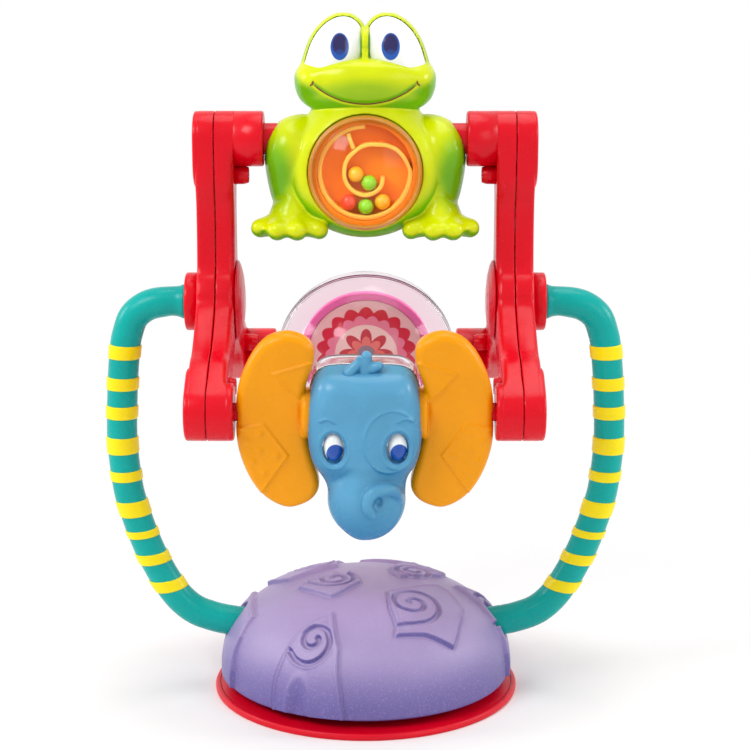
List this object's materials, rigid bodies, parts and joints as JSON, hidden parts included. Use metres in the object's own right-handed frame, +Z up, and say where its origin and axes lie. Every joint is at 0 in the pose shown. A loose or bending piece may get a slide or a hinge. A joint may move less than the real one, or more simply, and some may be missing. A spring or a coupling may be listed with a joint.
{
  "type": "suction cup spinner rattle",
  "caption": "Table-top baby rattle: a spinning wheel of frog, elephant and clear ball stations on bowed handles over a domed suction base.",
  "frame": {"origin": "on the surface that the toy stands on, under the middle of its outer box; the cup, the dome and the wheel's axle are centred 7.76 mm in front of it", "axes": "+Z up, -Y to the front, where the elephant is, and X along the wheel's axle"},
  "size_m": [0.1824, 0.143, 0.2377],
  "materials": {
    "cup_rubber": "smooth soft vinyl",
    "lavender_plastic": "fine matte texture",
    "turquoise_plastic": "gloss, with yellow bands",
    "red_plastic": "gloss",
    "lime_plastic": "gloss",
    "eye_white": "gloss, with printed pupils",
    "amber_plastic": "gloss",
    "orange_plastic": "satin",
    "clear_plastic": "clear polished plastic",
    "pink_clear_plastic": "clear polished plastic with a faint pink cast",
    "bead_red": "gloss",
    "bead_yellow": "gloss",
    "bead_green": "gloss",
    "blue_plastic": "gloss",
    "ear_plastic": "gloss",
    "pink_plastic": "satin",
    "picture_print": null,
    "steel": "zinc plated"
  },
  "bodies": {
    "base": {"suction_cup": "cup_rubber", "base_plate": "lavender_plastic", "base_dome": "lavender_plastic", "base_screw_1": "steel", "base_screw_2": "steel", "base_screw_3": "steel", "left_handle": "turquoise_plastic", "right_handle": "turquoise_plastic", "left_hub_washer": "steel", "right_hub_washer": "steel", "left_hub_screw": "steel", "right_hub_screw": "steel"},
    "wheel": {"left_inner_frame": "red_plastic", "right_inner_frame": "red_plastic", "left_outer_frame": "red_plastic", "right_outer_frame": "red_plastic", "left_hub_cap": "red_plastic", "right_hub_cap": "red_plastic", "left_frog_arm_screw": "steel", "left_elephant_arm_screw": "steel", "left_ball_arm_screw": "steel", "right_frog_arm_screw": "steel", "right_elephant_arm_screw": "steel", "right_ball_arm_screw": "steel", "frog_crossbar": "red_plastic", "elephant_crossbar": "red_plastic", "ball_left_pin": "red_plastic", "ball_right_pin": "red_plastic"},
    "frog": {"frog_front_shell": "lime_plastic", "frog_back_shell": "lime_plastic", "frog_left_eye": "eye_white", "frog_right_eye": "eye_white", "belly_bezel": "amber_plastic", "belly_lens": "clear_plastic", "maze_tray": "orange_plastic"},
    "outer_beads": {"outer_bead_red": "bead_red", "outer_bead_green": "bead_green", "outer_bead_yellow": "bead_yellow"},
    "inner_beads": {"inner_bead_yellow": "bead_yellow", "inner_bead_green": "bead_green"},
    "elephant": {"elephant_face": "blue_plastic", "elephant_clear_back": "clear_plastic", "elephant_left_ear": "ear_plastic", "elephant_right_ear": "ear_plastic", "elephant_left_eye": "eye_white", "elephant_right_eye": "eye_white"},
    "ball": {"ball_front_half": "pink_clear_plastic", "ball_back_half": "pink_clear_plastic", "picture_ring": "pink_plastic", "picture_disc": "picture_print"}
  },
  "joints": [
    {"name": "wheel_spin", "type": "hinge", "parent": "base", "child": "wheel", "pos_m": [0, -0.00776, 0.1394], "axis": [1, 0, 0], "continuous": true},
    {"name": "frog_spin", "type": "hinge", "parent": "wheel", "child": "frog", "pos_m": [0, -0.00776, 0.1954], "axis": [1, 0, 0], "continuous": true},
    {"name": "elephant_spin", "type": "hinge", "parent": "wheel", "child": "elephant", "pos_m": [0, -0.05626, 0.1114], "axis": [1, 0, 0], "continuous": true},
    {"name": "ball_spin", "type": "hinge", "parent": "wheel", "child": "ball", "pos_m": [0, 0.04073, 0.1114], "axis": [1, 0, 0], "continuous": true},
    {"name": "outer_beads_roll", "type": "hinge", "parent": "frog", "child": "outer_beads", "pos_m": [0, -0.01826, 0.1852], "axis": [0, 1, 0], "range_deg": [-42, 95]},
    {"name": "inner_beads_roll", "type": "hinge", "parent": "frog", "child": "inner_beads", "pos_m": [0, -0.01826, 0.1852], "axis": [0, 1, 0], "range_deg": [-3, 18]}
  ]
}
